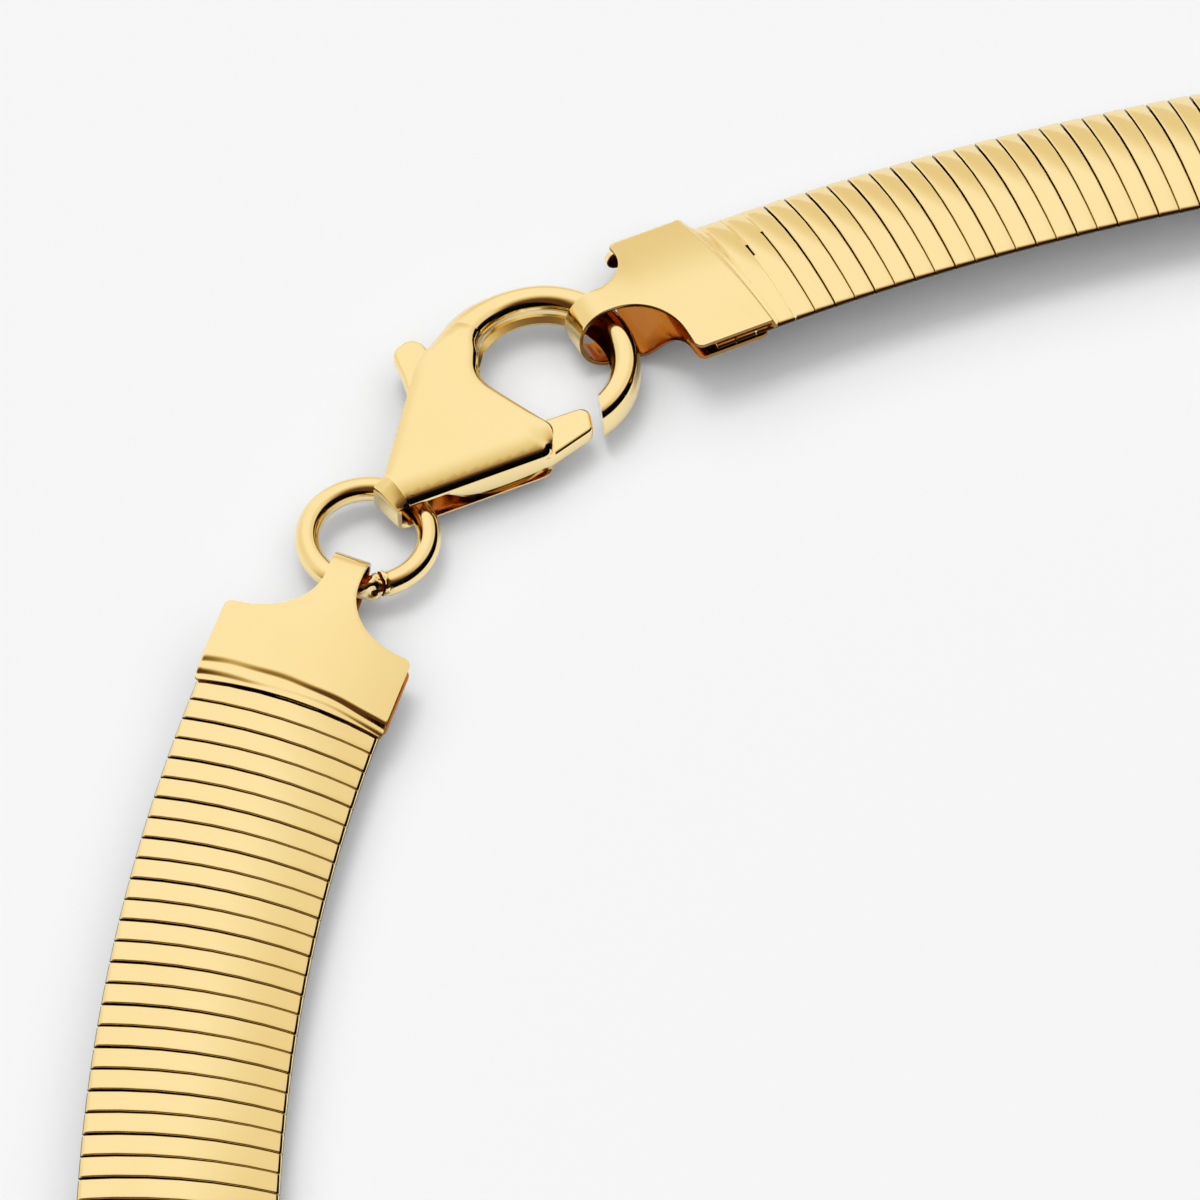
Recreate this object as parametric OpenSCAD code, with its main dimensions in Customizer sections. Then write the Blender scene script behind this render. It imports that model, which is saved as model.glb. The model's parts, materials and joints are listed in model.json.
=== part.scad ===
// Omega necklace: a flat chain of domed plates, two end caps, a jump ring and a lobster clasp.
// It lies closed on a table, a little raised where the clasp props up its ends.

/* [Band] */
// width of the chain
band_w = 8; // [4:0.5:12]
// height of the plates' sides above the underside
band_side = 0.32; // [0.2:0.02:1]
// height of the plates' crown above the underside
band_crown = 0.89; // [0.6:0.01:2]
// spacing of the plates before it is fitted to the loop
plate_pitch = 0.978; // [0.8:0.002:1.4]
// gap between two plates
plate_gap = 0.12; // [0.08:0.01:0.2]
// depth of the gap down to the woven core
gap_depth = 0.16; // [0.1:0.01:0.3]

/* [Loop] */
// bend radius beside the right cap
right_r = 116.9; // [90:0.1:150]
// turn of that bend
right_turn = 22; // [5:1:40]
// bend radius beside the left cap
left_r = 85.3; // [70:0.1:120]
// turn of that bend
left_turn = 30; // [5:1:40]
// bend radius of both sides
side_r = 76; // [70:0.5:84]
// bend radius at the back of the neck
back_r = 62; // [50:1:72]
// sideways lean of the band beside the right cap
right_lean = -14; // [-20:0.5:20]
// sideways lean of the band beside the left cap
left_lean = 7; // [-20:0.5:20]
// height of the band's lower edge beside the right cap
right_rise = 1.2; // [0:0.01:3]
// height of the band's lower edge beside the left cap
left_rise = 1.49; // [0:0.01:3]
// length over which each end keeps its lean
lean_hold = 35; // [20:1:60]
// length over which the lean then runs out
lean_fade = 100; // [40:5:140]

/* [End caps] */
// thickness of the caps' sheet
cap_sheet = 0.17; // [0.15:0.01:0.4]
// height of the caps' tops above the band's underside
cap_crown = 1.16; // [1:0.01:2]
// drop of the cap's top from the middle to its sides
cap_dome = 0.35; // [0:0.01:0.8]
// outer radius of the loop under each neck
loop_r = 1.5; // [1.2:0.01:2]
// distance of that loop's centre from the band's edge of the cap
loop_a = 5.66; // [4.5:0.01:7]

/* [Jump ring] */
// radius of the ring to the middle of its wire
ring_r = 2.59; // [2:0.01:4]
// radius of the wire
wire_r = 0.53; // [0.3:0.01:0.8]
// width of the cut in the ring
ring_cut = 0.16; // [0.05:0.01:0.5]

/* [Clasp] */
// height of the clasp over both shells
clasp_h = 2.8; // [2:0.05:4]
// depth of each shell
shell_h = 0.5; // [0.3:0.05:0.9]
// radius of the hook to the middle of its arm
hook_r = 3.55; // [3:0.05:5]
// width of the hook's arm
arm_w = 1.36; // [1:0.05:2]
// height of the hook's arm
arm_h = 1.98; // [1:0.05:2.8]
// height of the lever
lever_h = 0.85; // [0.4:0.05:1.4]
// radius of the pivot pin
pin_r = 0.4; // [0.2:0.02:0.8]
// clearance between the pin and the lever
pin_clearance = 0.06; // [0.01:0.01:0.1]

/* [Hidden] */
gold = [0.91, 0.76, 0.42];
slack = 0.02;
$fn = 72;

// Headings are in degrees from +X. The loop runs clockwise from the right cap to the left one.
function along(h) = [cos(h), sin(h)];
function inward(h) = [sin(h), -cos(h)];
function wrap(a) = ((a % 360) + 360) % 360;
function radians(a) = a * PI / 180;
function unit(v) = v / norm(v);
function smooth(x) = x <= 0 ? 0 : x >= 1 ? 1 : x * x * (3 - 2 * x);

// Places where the loop starts and ends, at the first clear gap beside each cap
right_start = [8.71, 17.424];
right_heading = 23.16;
left_end = [-13.54, -8.49];
left_heading = -285.55;

// Centres of the five bends, each tangent to the next
right_side_h = right_heading - right_turn;
left_side_h = left_heading + left_turn;
right_c = right_start + right_r * inward(right_heading);
left_c = left_end + left_r * inward(left_heading);
side_c1 = right_c - (right_r - side_r) * inward(right_side_h);
side_c2 = left_c - (left_r - side_r) * inward(left_side_h);
side_gap = side_c2 - side_c1;
back_off = sqrt(pow(side_r - back_r, 2) - pow(norm(side_gap) / 2, 2));
back_c = (side_c1 + side_c2) / 2 + back_off * inward(atan2(side_gap[1], side_gap[0]));
back_h1 = atan2(back_c[1] - side_c1[1], back_c[0] - side_c1[0]) - 90;
back_h2 = atan2(back_c[1] - side_c2[1], back_c[0] - side_c2[0]) - 90;
turn_1 = wrap(right_side_h - back_h1);
turn_2 = wrap(back_h1 - back_h2);
turn_3 = wrap(back_h2 - left_side_h);

// Each bend: centre, radius, heading where it starts, turn
bends = [
    [right_c, right_r, right_heading, right_turn],
    [side_c1, side_r, right_side_h, turn_1],
    [back_c, back_r, right_side_h - turn_1, turn_2],
    [side_c2, side_r, right_side_h - turn_1 - turn_2, turn_3],
    [left_c, left_r, left_side_h, left_turn]
];
function bend_len(i) = bends[i][1] * radians(bends[i][3]);
function sum_to(i) = i < 0 ? 0 : bend_len(i) + sum_to(i - 1);
loop_len = sum_to(len(bends) - 1);
plates = round(loop_len / plate_pitch);
pitch = loop_len / plates;
middle_plate = floor(plates / 2);

// x, y and heading at a length s along the loop
function pose_in(i, s) = let (h = bends[i][2] - s / bends[i][1] * 180 / PI)
    concat(bends[i][0] - bends[i][1] * inward(h), [h]);
function pose(s, i = 0) = i < len(bends) - 1 && s > bend_len(i) ? pose(s - bend_len(i), i + 1) : pose_in(i, s);
function right_share(s) = 1 - smooth((s - lean_hold) / lean_fade);
function left_share(s) = 1 - smooth((loop_len - s - lean_hold) / lean_fade);
function lean(s) = right_lean * right_share(s) + left_lean * left_share(s);
function rise(s) = right_rise * right_share(s) + left_rise * left_share(s) + band_w / 2 * abs(sin(lean(s)));

// Places of the caps, ring and clasp on the table
right_cap_s = -3.6 * pitch;
left_cap_s = loop_len + 3.2 * pitch;
ring_at = [-9.86, 2.82, 1.45];
ring_cut_heading = -78;
clasp_at = [-9, 4.12, 1.65];
clasp_heading = 40;
hook_c = [9.93, 1.6];
pivot = [4.6, 1.3];
tab_corner = [5.9, 6.42];

// The whole is turned so that the clasp lies at +Y, and moved so that the origin is under its middle
loop_turn = 48.8;
function turned(p) = [p[0] * cos(loop_turn) + p[1] * sin(loop_turn), p[1] * cos(loop_turn) - p[0] * sin(loop_turn)];
function on_clasp(p) = [clasp_at[0], clasp_at[1]] + p[0] * along(clasp_heading) - p[1] * inward(clasp_heading);
function band_edge(s, side) = let (p = pose(s))
    [p[0], p[1]] - inward(p[2]) * (side * band_w / 2 * cos(lean(s)) + band_side * sin(-lean(s)));
extremes = concat(
    [for (i = [0 : plates]) turned(band_edge(i * pitch, 1))],
    [for (a = [0 : 2 : 180]) turned(on_clasp(hook_c + (hook_r + arm_w / 2) * along(a)))],
    [turned(on_clasp(tab_corner))]
);
xs = [for (p = extremes) p[0]];
ys = [for (p = extremes) p[1]];
middle = [(min(xs) + max(xs)) / 2, (min(ys) + max(ys)) / 2];

module in_row() {
    translate([-middle[0], -middle[1], 0]) rotate([0, 0, -loop_turn]) children();
}

module on_loop(s) {
    p = pose(s);
    translate([p[0], p[1], rise(s)]) rotate([0, 0, p[2]]) rotate([lean(s), 0, 0]) children();
}

// A closed outline from rows of x, y and corner radius
function corner(p, a, b, r) = let (
    u = unit(a - p),
    v = unit(b - p),
    half = acos(max(-1, min(1, u * v))) / 2
) r == 0 || half > 89.5 ? [p] : let (
    c = p + unit(u + v) * r / sin(half),
    from = p + u * r / tan(half) - c,
    to = p + v * r / tan(half) - c,
    a0 = atan2(from[1], from[0]),
    d = wrap(atan2(to[1], to[0]) - a0 + 180) - 180,
    n = max(1, ceil(abs(d) / 15))
) [for (i = [0 : n]) c + r * along(a0 + d * i / n)];
function rounded(rows) = let (n = len(rows))
    [for (i = [0 : n - 1]) each corner(
        [rows[i][0], rows[i][1]],
        [rows[(i + n - 1) % n][0], rows[(i + n - 1) % n][1]],
        [rows[(i + 1) % n][0], rows[(i + 1) % n][1]],
        rows[i][2]
    )];

// Rings of equal length joined into one closed solid, each end a fan about a hub that every corner can see
module loft(rings, first_hub, last_hub) {
    n = len(rings[0]);
    m = len(rings);
    sides = [for (k = [0 : m - 2]) for (i = [0 : n - 1]) let (j = (i + 1) % n)
        each [[k * n + i, (k + 1) * n + j, k * n + j], [k * n + i, (k + 1) * n + i, (k + 1) * n + j]]];
    ends = [for (i = [0 : n - 1]) let (j = (i + 1) % n, last = (m - 1) * n)
        each [[i, j, m * n], [last + j, last + i, m * n + 1]]];
    polyhedron(concat([for (r = rings) each r], [first_hub, last_hub]), concat(sides, ends), convexity = 6);
}

// Cross-section of a plate: flat below, arched above
module plate_section(w, side, crown) {
    r = (w * w / 4 + pow(crown - side, 2)) / (2 * (crown - side));
    intersection() {
        translate([0, crown - r]) circle(r = r, $fn = 240);
        translate([-w / 2, 0]) square([w, crown]);
    }
}

module bar(from, to, w, side, crown) {
    on_loop((from + to) / 2) translate([(from - to) / 2, 0, 0])
        rotate([90, 0, 90]) linear_extrude(to - from) plate_section(w, side, crown);
}

module plate(i) {
    bar(i * pitch + plate_gap / 2, (i + 1) * pitch - plate_gap / 2, band_w, band_side, band_crown);
}

// The core between plates i - 1 and i
module core_link(i, reach) {
    bar(i * pitch - plate_gap, i * pitch + reach, band_w - 2 * gap_depth, band_side - gap_depth, band_crown - gap_depth);
}

// The band's end inside a cap, low enough to pass under the cap's top
tongue_h = 0.4;
right_tongue = 2.4;
left_tongue = 1.9;
module hidden_end(from, to) {
    w = band_w - 2 * gap_depth;
    on_loop((from + to) / 2) translate([(from - to) / 2, -w / 2, 0]) cube([to - from, w, tongue_h]);
}

module band_right() {
    color(gold) in_row() {
        for (i = [-3 : middle_plate - 1]) {
            plate(i);
            core_link(i + 1, i + 1 == middle_plate ? plate_gap / 2 - slack : plate_gap);
        }
        difference() {
            bar(-4 * pitch, -3 * pitch - plate_gap / 2, band_w, band_side, band_crown);
            on_loop(right_cap_s) rotate([0, 0, 180]) cap_zone(right_top);
        }
        core_link(-3, plate_gap);
        hidden_end(right_cap_s - right_tongue, -3.5 * pitch);
    }
}

module band_left() {
    last = plates + 2;
    color(gold) in_row() {
        for (i = [middle_plate : last - 1]) {
            plate(i);
            core_link(i + 1, plate_gap);
        }
        difference() {
            bar(last * pitch + plate_gap / 2, (last + 1) * pitch, band_w, band_side, band_crown);
            on_loop(left_cap_s) cap_zone(left_top);
        }
        hidden_end((last + 0.5) * pitch, left_cap_s + left_tongue);
    }
}

// Shoulders of each cap's top and underplate, first at +Y and then at -Y seen towards the clasp:
// band edge and its corner radius, half width, centre of the hollow along and across, its length and depth
right_top = [
    [-0.3, 0.35, 4.15, 5.4, 3.0, 2.2, 2.8],
    [0.08, 0.7, 4.46, 5.5, 3.87, 1.85, 2.5]
];
right_under = [
    [-0.3, 0.35, 3.95, 5.4, 3.0, 2.4, 2.8],
    [0.08, 0.5, 4.3, 5.5, 3.6, 1.5, 2.23]
];
// Ear of the right cap's underplate that shows past the top's far shoulder: x, y and corner radius
right_ear = [[2.6, -4.3, 0], [3.55, -4.48, 0.3], [4.1, -3.95, 0.4], [3.95, -3.2, 0.3], [2.6, -2.9, 0]];
left_top = [
    [-0.5, 0.3, 4.12, 5.3, 3.6, 2.6, 2.95],
    [-0.7, 0.15, 4.1, 5.3, 3.55, 2.65, 2.7]
];
left_under = [
    [-0.5, 0.3, 4.0, 5.3, 3.6, 2.6, 2.95],
    [-0.7, 0.15, 4.15, 5.3, 3.55, 2.5, 2.7]
];
cap_corner = 0.35;
function neck_side(row) = row[4] - row[6];
function shoulder(row) = concat(
    [[row[0], row[2], row[1]], [row[3] - row[5], row[2], cap_corner]],
    [for (a = [0 : 7.5 : 90]) [row[3] - row[5] * cos(a), row[4] - row[6] * sin(a), 0]],
    [[loop_a, neck_side(row), 0]]
);
function mirrored(pts) = [for (i = [len(pts) - 1 : -1 : 0]) [pts[i][0], -pts[i][1], pts[i][2]]];

module cap_plan(rows) {
    polygon(rounded(concat(shoulder(rows[0]), mirrored(shoulder(rows[1])))));
}

module cap_zone(rows) {
    translate([0, 0, tongue_h + slack]) linear_extrude(band_w) polygon([
        [rows[0][0] - slack, band_w],
        [rows[1][0] - slack, -band_w],
        [band_w, -band_w],
        [band_w, band_w]
    ]);
}

// The cap's side view: underplate, slope to the loop's foot, and the loop folded up to the neck
module cap_side_view() {
    foot = cap_crown - 2 * loop_r;
    polygon([
        [-1, -slack],
        [2.92, -slack],
        [4.2, foot + cap_sheet + 0.25],
        [loop_a, foot + cap_sheet],
        [loop_a, foot],
        [4.1, foot + 0.2],
        [2.84, -slack - cap_sheet],
        [-1, -slack - cap_sheet]
    ]);
    intersection() {
        translate([loop_a, cap_crown - loop_r]) difference() {
            circle(r = loop_r);
            circle(r = loop_r - cap_sheet);
        }
        translate([loop_a - slack, foot]) square([2 * loop_r, 2 * loop_r]);
    }
}

module end_cap(top, under) {
    top_r = (band_w * band_w / 4 + cap_dome * cap_dome) / (2 * cap_dome);
    reach = loop_a + 2 * loop_r;
    // arched top
    intersection() {
        rotate([90, 0, 90]) translate([0, 0, -2]) linear_extrude(reach) difference() {
            translate([0, cap_crown - top_r]) circle(r = top_r, $fn = 360);
            translate([0, cap_crown - top_r]) circle(r = top_r - cap_sheet, $fn = 360);
        }
        linear_extrude(band_w) cap_plan(top);
    }
    // underplate, slope and loop
    intersection() {
        rotate([90, 0, 0]) translate([0, 0, -band_w]) linear_extrude(2 * band_w) cap_side_view();
        union() {
            translate([0, 0, -band_w]) linear_extrude(2 * band_w) cap_plan(under);
            translate([loop_a - 1, -neck_side(top[1]), -band_w])
                cube([loop_r + 1.1, neck_side(top[0]) + neck_side(top[1]), 2 * band_w]);
        }
    }
}

module end_cap_right() {
    color(gold) in_row() on_loop(right_cap_s) rotate([0, 0, 180]) {
        end_cap(right_top, right_under);
        translate([0, 0, -slack - cap_sheet]) linear_extrude(cap_sheet) polygon(rounded(right_ear));
    }
}

module end_cap_left() {
    color(gold) in_row() on_loop(left_cap_s) end_cap(left_top, left_under);
}

module jump_ring() {
    color(gold) in_row() translate(ring_at) rotate([0, 0, ring_cut_heading]) difference() {
        rotate_extrude() translate([ring_r, 0]) circle(r = wire_r, $fn = 32);
        translate([0, -ring_cut / 2, -2 * wire_r]) cube([2 * ring_r, ring_cut, 4 * wire_r]);
    }
}

module on_clasp_frame() {
    in_row() translate(clasp_at) rotate([0, 0, clasp_heading]) children();
}

// Outline of both shells: x, y and corner radius, from the tail along the lower rim
shell_rows = [
    [0.5, -0.8, 0],
    [6.85, -2.62, 0.5],
    [7.76, -1.7, 0.5],
    [7.3, 0.3, 5],
    [6.95, 1.95, 1.5],
    [7.15, 2.75, 1.5],
    [8.3, 4.2, 1.2],
    [8.9, 4.5, 0],
    [8.9, 5.52, 0],
    [7.1, 5.42, 2.5],
    [5.3, 4.68, 3],
    [0.45, 0.92, 0]
];

// Shell edges roll in towards the top: inset and height, as shares of the shell's depth
shell_roll = [
    [0.12, 0],
    [0, 0.15],
    [0, 0.4],
    [0.2, 0.72],
    [0.55, 0.92],
    [1, 1]
];
function inset(pts, d) = let (n = len(pts))
    [for (i = [0 : n - 1]) let (
        u = unit(pts[i] - pts[(i + n - 1) % n]),
        v = unit(pts[(i + 1) % n] - pts[i]),
        m = unit([-u[1] - v[1], u[0] + v[0]])
    ) pts[i] + m * d];

shell_hub = [5.6, 3.35];
module shell() {
    pts = rounded(shell_rows);
    loft(
        [for (row = shell_roll) [for (p = inset(pts, row[0] * shell_h)) [p[0], p[1], row[1] * shell_h]]],
        concat(shell_hub, [0]),
        concat(shell_hub, [shell_h])
    );
}

// The tail folds round the ring: outer and inner side view, x and z
tail_sheet = 0.26;
module tail() {
    top = clasp_h / 2 - slack;
    foot = -1.25;
    translate([-0.08, 0, 0]) rotate([0, 0, 9]) rotate([90, 0, 0]) translate([0, 0, -0.85]) linear_extrude(1.6) difference() {
        polygon([[1.6, top], [0.5, top], [0.02, 0.45], [-0.05, 0], [0.05, -0.6], [0.45, foot], [1.6, foot]]);
        polygon([
            [2, top - tail_sheet],
            [0.6, top - tail_sheet],
            [tail_sheet, 0.4],
            [tail_sheet - 0.05, 0],
            [tail_sheet + 0.05, -0.5],
            [0.55, foot + tail_sheet],
            [2, foot + tail_sheet]
        ]);
    }
}

// The hook's arm: an oval carried round an arc, taller where it leaves the shells
arm_from = 128;
arm_to = -92;
arm_stations = 24;
function arm_ring(k) = let (
    a = arm_from + (arm_to - arm_from) * k / arm_stations,
    swell = 1 - smooth((arm_from - a) / 45),
    w = arm_w / 2 * (1 + 0.12 * swell),
    h = arm_h / 2 + (clasp_h - arm_h) / 2 * 0.9 * swell
) [for (j = [0 : 15]) let (b = j * 22.5, r = hook_r + w * cos(b))
    [hook_c[0] + r * cos(a), hook_c[1] + r * sin(a), h * sin(b)]];

function arm_centre(a) = concat(hook_c + hook_r * along(a), [0]);

module hook_arm() {
    difference() {
        loft([for (k = [0 : arm_stations]) arm_ring(k)], arm_centre(arm_from), arm_centre(arm_to));
        // the slanted face of the tip
        translate([10.66, -1.13, -clasp_h]) rotate([0, 0, -120.8]) translate([-2, -4, 0]) cube([6, 4, 2 * clasp_h]);
    }
}

module clasp_body() {
    color(gold) on_clasp_frame() {
        translate([0, 0, clasp_h / 2 - shell_h]) shell();
        mirror([0, 0, 1]) translate([0, 0, clasp_h / 2 - shell_h]) shell();
        tail();
        hook_arm();
        translate([pivot[0], pivot[1], -clasp_h / 2 + shell_h / 2]) cylinder(r = pin_r, h = clasp_h - shell_h);
    }
}

// Outline of the lever: x, y and corner radius, from the gate's tip
lever_rows = [
    [10.0, -1.34, 0.35],
    [9.3, -2.5, 0.3],
    [6.8, -2.55, 1],
    [3.2, -1.42, 0.3],
    [3.3, 1.6, 1.4],
    [4.85, 5.1, 2],
    [5.3, 6.4, 0.65],
    [6.72, 6.5, 0.65],
    [6.45, 4.3, 1.5],
    [5.9, -0.1, 1.2]
];

module clasp_lever() {
    color(gold) on_clasp_frame() difference() {
        union() {
            translate([0, 0, -lever_h / 2]) linear_extrude(lever_h) polygon(rounded(lever_rows));
            // the deeper wall along the lower rim, bowed below
            translate([2.9, -1.28, 0]) rotate([0, 0, -15.2]) rotate([90, 0, 0]) translate([0, 0, -0.3])
                linear_extrude(0.28) intersection() {
                    translate([2.1, 4.13]) circle(r = 5);
                    translate([0, -1]) square([4.5, 1]);
                }
        }
        // the thumb tab keeps the lever's upper half
        translate([4.6, 4, -lever_h]) rotate([0, 0, 33]) cube([4, 4, lever_h]);
        translate([pivot[0], pivot[1], -clasp_h]) cylinder(r = pin_r + pin_clearance, h = 2 * clasp_h);
    }
}

band_right();
band_left();
end_cap_right();
end_cap_left();
jump_ring();
clasp_body();
clasp_lever();
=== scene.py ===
"""An omega necklace of domed gold plates, closed by a lobster clasp, dressed around its CAD model.

All lengths are in millimetres until a mesh is made, which takes them to metres.
"""
import cmath
import json
import math

import bmesh
import bpy
from mathutils import Matrix, Vector
from mathutils.geometry import delaunay_2d_cdt


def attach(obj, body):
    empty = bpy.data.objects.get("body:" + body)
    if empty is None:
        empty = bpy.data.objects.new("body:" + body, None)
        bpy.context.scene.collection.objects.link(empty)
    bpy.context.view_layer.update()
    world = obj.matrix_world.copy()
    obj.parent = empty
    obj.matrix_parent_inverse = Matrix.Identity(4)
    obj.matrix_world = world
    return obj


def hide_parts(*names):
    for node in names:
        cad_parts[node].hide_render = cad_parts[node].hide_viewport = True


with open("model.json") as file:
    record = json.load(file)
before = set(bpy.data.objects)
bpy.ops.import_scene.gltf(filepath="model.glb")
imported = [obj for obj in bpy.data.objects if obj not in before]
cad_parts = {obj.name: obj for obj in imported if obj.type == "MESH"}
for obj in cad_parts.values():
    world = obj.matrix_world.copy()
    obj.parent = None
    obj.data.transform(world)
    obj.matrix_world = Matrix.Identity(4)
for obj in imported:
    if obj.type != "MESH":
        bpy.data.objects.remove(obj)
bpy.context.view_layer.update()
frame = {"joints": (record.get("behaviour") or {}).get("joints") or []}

# The set: a pale table, a camera above it at the photograph's angle, and soft light from the upper left.
# What polished metal mirrors is a studio of its own: a wide white cloth overhead, which fades to warm
# greys at its sides, and a dark room behind the camera and at the right.
MM = 0.001
LOOP_TURN = 48.8
TURN_BACK = Matrix.Rotation(math.radians(-LOOP_TURN), 4, "Z")
# the clasp lies here as seen in the picture, and its pin's place in the model shows how far all moves
CLASP_AT, CLASP_HEADING, PIVOT = (-9, 4.12, 1.65), 40, Vector((4.6, 1.3))
CLASP_PLACE = Matrix.Translation(CLASP_AT) @ Matrix.Rotation(math.radians(CLASP_HEADING), 4, "Z")
lever_joint = next(joint for joint in frame["joints"] if joint["name"] == "lever_pivot")
move = Vector(lever_joint["pos_m"]) / MM - TURN_BACK @ CLASP_PLACE @ Vector((*PIVOT, 0))
IN_ROW = Matrix.Translation((move.x, move.y, 0)) @ TURN_BACK
# the camera looks at a place this far over the table
AIM_UP = 0.8


def in_row(x, y, z):
    """A place that is given from the spot under the picture's middle, in the model's frame"""
    return IN_ROW @ Vector((x, y, z))


CAMERA_TILT, CAMERA_DISTANCE = 54, 276.75
SENSOR_WIDTH, FOCAL_PIXELS, PICTURE_PIXELS = 36, 6534, 1200
camera_data = bpy.data.cameras.new("camera")
camera_data.sensor_width = SENSOR_WIDTH
camera_data.lens = SENSOR_WIDTH * FOCAL_PIXELS / PICTURE_PIXELS
camera_data.clip_start = 0.01
camera = bpy.data.objects.new("camera", camera_data)
bpy.context.scene.collection.objects.link(camera)
back = Vector((0, -math.cos(math.radians(CAMERA_TILT)), math.sin(math.radians(CAMERA_TILT))))
camera_place = in_row(*(back * CAMERA_DISTANCE)) + Vector((0, 0, AIM_UP))
camera.matrix_world = (
    Matrix.Translation(camera_place * MM)
    @ TURN_BACK
    @ Matrix.Rotation(math.radians(90 - CAMERA_TILT), 4, "X")
)
bpy.context.scene.camera = camera
bpy.context.scene.view_settings.view_transform = "Standard"
bpy.context.scene.view_settings.look = "None"


def adder(tree):
    """A function that adds a node to a tree: settings by name, inputs by socket name or number"""
    def add(kind, inputs=None, **settings):
        node = tree.nodes.new(kind)
        for key, value in settings.items():
            setattr(node, key, value)
        for key, value in (inputs or {}).items():
            if isinstance(value, bpy.types.NodeSocket):
                tree.links.new(value, node.inputs[key])
            else:
                node.inputs[key].default_value = value
        return node
    return add


def new_material(name):
    """A material with an empty node tree, and the function that adds nodes to it"""
    material = bpy.data.materials.new(name)
    material.use_nodes = True
    material.node_tree.nodes.clear()
    return material, adder(material.node_tree)


def ramp(node, stops):
    """Sets a colour ramp's stops, each a place and a colour"""
    elements = node.color_ramp.elements
    while len(elements) > 1:
        elements.remove(elements[0])
    for i, (place, colour) in enumerate(stops):
        element = elements[0] if i == 0 else elements.new(place)
        element.position = place
        element.color = (*colour, 1)


# How the cloth fades: where along a direction the fade starts and ends, and its brightness at both
FAR_FADE = (0.88, 0.99, 1, 0.76)
NEAR_FADE = (-0.5, 0.32, 0.2, 1)
RIGHT_FADE = (0.12, 0.5, 1, 0.84)
LEFT_FADE = (0.4, 0.85, 1, 0.84)
# at the left the cloth reaches further towards the camera: from where to where, and by how much
LEFT_REACH = (-0.25, -0.8, 0, 0.34)
# how high the dark room reaches: straight ahead, how much less with each step away from the camera,
# how much more with each step to the right, and the soft stretch over its top
ROOM_TOP, ROOM_FAR, ROOM_RIGHT = 0.13, -0.36, 0.66
ROOM_SOFT = (-0.02, 0.16, 0, 1)
# the table's own light comes from overhead, so its shadows stay close under what casts them
OVERHEAD = (0.35, 0.85, 0, 1.41)
# what the metal mirrors, from the dark room through the cloth's warm greys to its white
MIRRORED = [
    (0, (0, 0, 0)), (0.2, (0.09, 0.035, 0.01)), (0.45, (0.46, 0.34, 0.16)), (0.72, (0.78, 0.7, 0.48)),
    (1, (1.0, 0.99, 0.96)),
]


def studio_world():
    """White for the camera, light from overhead for the table, and the studio for mirrors"""
    world = bpy.data.worlds.new("studio")
    world.use_nodes = True
    tree = world.node_tree
    tree.nodes.clear()
    add = adder(tree)
    place = add("ShaderNodeTexCoord")
    turned = add("ShaderNodeVectorRotate",
                 {"Vector": place.outputs["Generated"], "Angle": math.radians(LOOP_TURN)},
                 rotation_type="Z_AXIS")
    axes = add("ShaderNodeSeparateXYZ", {0: turned.outputs[0]})
    side, far, height = (axes.outputs[axis] for axis in "XYZ")

    def scaled(value, by, plus=0):
        return add("ShaderNodeMath", {0: value, 1: by, 2: plus}, operation="MULTIPLY_ADD").outputs[0]

    def ranged(value, fade, way="SMOOTHSTEP"):
        start, stop, low, high = fade
        return add("ShaderNodeMapRange", {"Value": value, 1: start, 2: stop, 3: low, 4: high},
                   interpolation_type=way).outputs[0]

    def times(a, b):
        return add("ShaderNodeMath", {0: a, 1: b}, operation="MULTIPLY").outputs[0]

    reached = scaled(far, 1, ranged(side, LEFT_REACH, "LINEAR"))
    cloth = times(ranged(far, FAR_FADE), ranged(reached, NEAR_FADE))
    cloth = times(times(cloth, ranged(side, RIGHT_FADE)), ranged(scaled(side, -1), LEFT_FADE))
    room_top = scaled(side, ROOM_RIGHT, scaled(far, ROOM_FAR, ROOM_TOP))
    over_room = add("ShaderNodeMath", {0: height, 1: room_top}, operation="SUBTRACT").outputs[0]
    tint = add("ShaderNodeValToRGB", {0: times(cloth, ranged(over_room, ROOM_SOFT))})
    ramp(tint, MIRRORED)
    mirrored = add("ShaderNodeBackground", {"Color": tint.outputs[0], "Strength": 1.0})
    plain = add("ShaderNodeBackground",
                {"Color": (0.92, 0.92, 0.92, 1), "Strength": ranged(height, OVERHEAD)})
    white = add("ShaderNodeBackground", {"Color": (0.915, 0.915, 0.915, 1), "Strength": 1.0})
    path = add("ShaderNodeLightPath")
    soft = add("ShaderNodeMixShader",
               {0: path.outputs["Is Glossy Ray"], 1: plain.outputs[0], 2: mirrored.outputs[0]})
    shown = add("ShaderNodeMixShader",
                {0: path.outputs["Is Camera Ray"], 1: soft.outputs[0], 2: white.outputs[0]})
    add("ShaderNodeOutputWorld", {0: shown.outputs[0]})
    bpy.context.scene.world = world


studio_world()
KEY_FROM = Vector((-0.26, 0.22, 1.4))
key_data = bpy.data.lights.new("key", "AREA")
key_data.shape = "DISK"
key_data.size = 0.62
key_data.energy = 4.5
key = bpy.data.objects.new("key", key_data)
bpy.context.scene.collection.objects.link(key)
key_place = TURN_BACK.to_3x3() @ KEY_FROM
key.location = key_place
key.rotation_euler = (-key_place).to_track_quat("-Z", "Y").to_euler()
key.visible_glossy = False

TABLE_HALF, TABLE_DROP = 2.0, 0.00002
# the table shows dark in the gold beyond some distance, and only on the camera's side
DARK_FROM, DARK_TO, DARK_LEAST = 0.14, 0.308, 0.2
CAMERA_SIDE_FROM, CAMERA_SIDE_TO = 0.05, -0.1


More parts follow.
